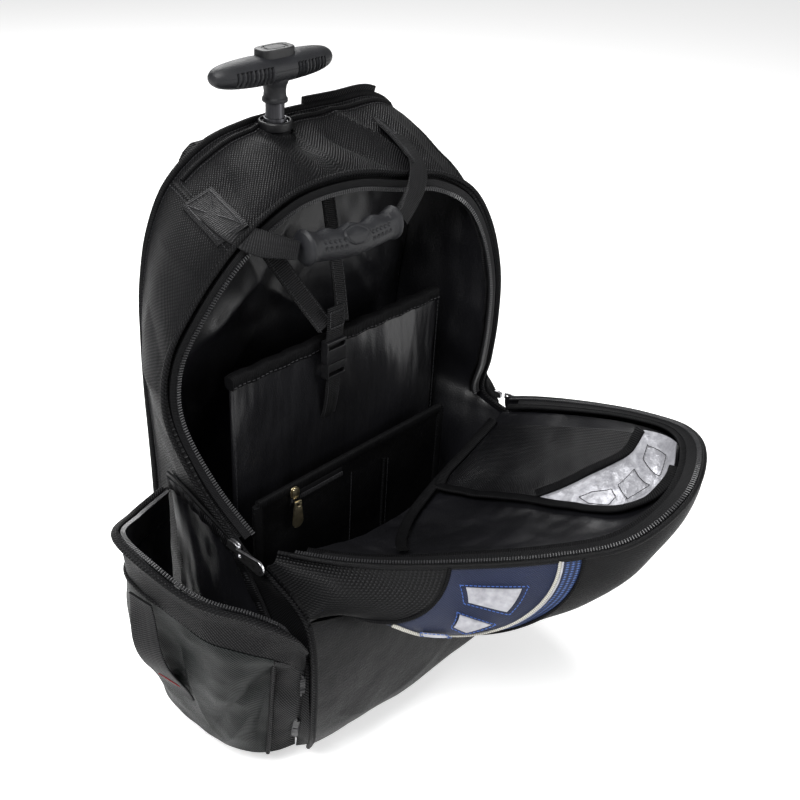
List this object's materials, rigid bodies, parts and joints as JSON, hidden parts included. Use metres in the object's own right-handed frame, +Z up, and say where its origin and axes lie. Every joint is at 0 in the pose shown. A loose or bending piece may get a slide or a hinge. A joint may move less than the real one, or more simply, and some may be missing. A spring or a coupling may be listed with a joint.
{
  "type": "wheeled backpack",
  "caption": "Soft backpack on wheels with a stowed telescoping pole and T grip, its zipped front flap hanging open over a padded sleeve and its side pocket open.",
  "frame": {"origin": "middle of the underside of the skid foot, on the floor", "axes": "+Z up, +Y from the opening towards the back panel and the pole, +X to the right of someone facing the opening"},
  "size_m": [0.4204, 0.4132, 0.5226],
  "materials": {
    "ribbed_nylon": "woven, ribbed, matt",
    "smooth_nylon": "coated twill, low sheen",
    "satin_lining": "satin, low sheen",
    "navy_nylon": "coated twill, low sheen",
    "grey_nylon": "coated twill, low sheen",
    "mesh_fabric": "open mesh, matt",
    "silver_film": "foil-coated cloth, satin",
    "webbing": "woven webbing, matt",
    "zip_tape": "woven tape with a nylon coil",
    "black_plastic": "moulded, satin",
    "soft_rubber": "moulded, matt",
    "tyre": "moulded, matt",
    "bare_steel": "polished",
    "brass": "polished, worn",
    "alloy_tube": "dark anodised, satin"
  },
  "bodies": {
    "root": {"main_gusset": "ribbed_nylon", "opening_zip_tape": "zip_tape", "boot_front": "smooth_nylon", "back_panel": "smooth_nylon", "rear_lining": "satin_lining", "floor_panel": "smooth_nylon", "base_tray": "black_plastic", "skid_foot": "black_plastic", "wheel_well_left": "black_plastic", "axle_left": "bare_steel", "wheel_well_right": "black_plastic", "axle_right": "bare_steel", "pole_fixed_tube": "alloy_tube", "pole_collar": "black_plastic", "flap_mesh_panel": "mesh_fabric", "flap_navy_panel": "navy_nylon", "flap_black_panel": "smooth_nylon", "flap_zip_tape": "zip_tape", "flap_lining": "satin_lining", "flap_inner_pocket": "mesh_fabric", "flap_silver_backing": "silver_film", "left_pocket_panel": "grey_nylon", "left_pocket_band": "ribbed_nylon", "left_pocket_floor": "grey_nylon", "left_pocket_inner_tape": "zip_tape", "left_pocket_loop": "webbing", "right_pocket": "ribbed_nylon", "laptop_sleeve": "satin_lining", "organizer_pocket": "satin_lining", "tie_strap_left": "webbing", "tie_strap_right": "webbing", "buckle_body": "black_plastic", "buckle_tongue": "black_plastic", "tie_tab": "webbing", "carry_grip": "soft_rubber", "handle_webbing_left": "webbing", "handle_webbing_right": "webbing", "shoulder_strap_left": "smooth_nylon", "ladder_buckle_left": "black_plastic", "strap_tail_left": "webbing", "shoulder_strap_right": "smooth_nylon", "ladder_buckle_right": "black_plastic", "strap_tail_right": "webbing", "main_left_slider": "bare_steel", "main_right_slider": "bare_steel", "organizer_slider": "brass"},
    "wheel_left": {"tyre_left": "tyre", "wheel_hub_left": "black_plastic"},
    "wheel_right": {"tyre_right": "tyre", "wheel_hub_right": "black_plastic"},
    "pole_middle": {"pole_middle_tube": "alloy_tube"},
    "pole_stem": {"grip_stem": "alloy_tube", "t_grip": "soft_rubber"},
    "button": {"release_button": "black_plastic"},
    "left_pull": {"main_left_pull": "bare_steel"},
    "right_pull": {"main_right_pull": "bare_steel"},
    "organizer_tab": {"organizer_pull": "brass"}
  },
  "joints": [
    {"name": "wheel_left_spin", "type": "hinge", "parent": "root", "child": "wheel_left", "pos_m": [-0.103, 0.17, 0.032], "axis": [1, 0, 0], "continuous": true},
    {"name": "wheel_right_spin", "type": "hinge", "parent": "root", "child": "wheel_right", "pos_m": [0.103, 0.17, 0.032], "axis": [1, 0, 0], "continuous": true},
    {"name": "pole_middle_slide", "type": "slide", "parent": "root", "child": "pole_middle", "axis": [0, 0, 1], "range_m": [0, 0.26]},
    {"name": "pole_stem_slide", "type": "slide", "parent": "pole_middle", "child": "pole_stem", "axis": [0, 0, 1], "range_m": [0, 0.26]},
    {"name": "button_press", "type": "slide", "parent": "pole_stem", "child": "button", "axis": [0, 0, -1], "range_m": [0, 0.003], "stiffness_N_per_m": 400},
    {"name": "left_pull_swing", "type": "hinge", "parent": "root", "child": "left_pull", "pos_m": [-0.1601, 0.0299, 0.2038], "axis": [0, 0, 1], "range_deg": [-110, 0]},
    {"name": "right_pull_swing", "type": "hinge", "parent": "root", "child": "right_pull", "pos_m": [0.169, 0.035, 0.2032], "axis": [0, 0, 1], "range_deg": [0, 110]},
    {"name": "organizer_pull_swing", "type": "hinge", "parent": "root", "child": "organizer_tab", "pos_m": [-0.0736, 0.0564, 0.1924], "axis": [1, 0, 0], "range_deg": [-110, 0]}
  ]
}
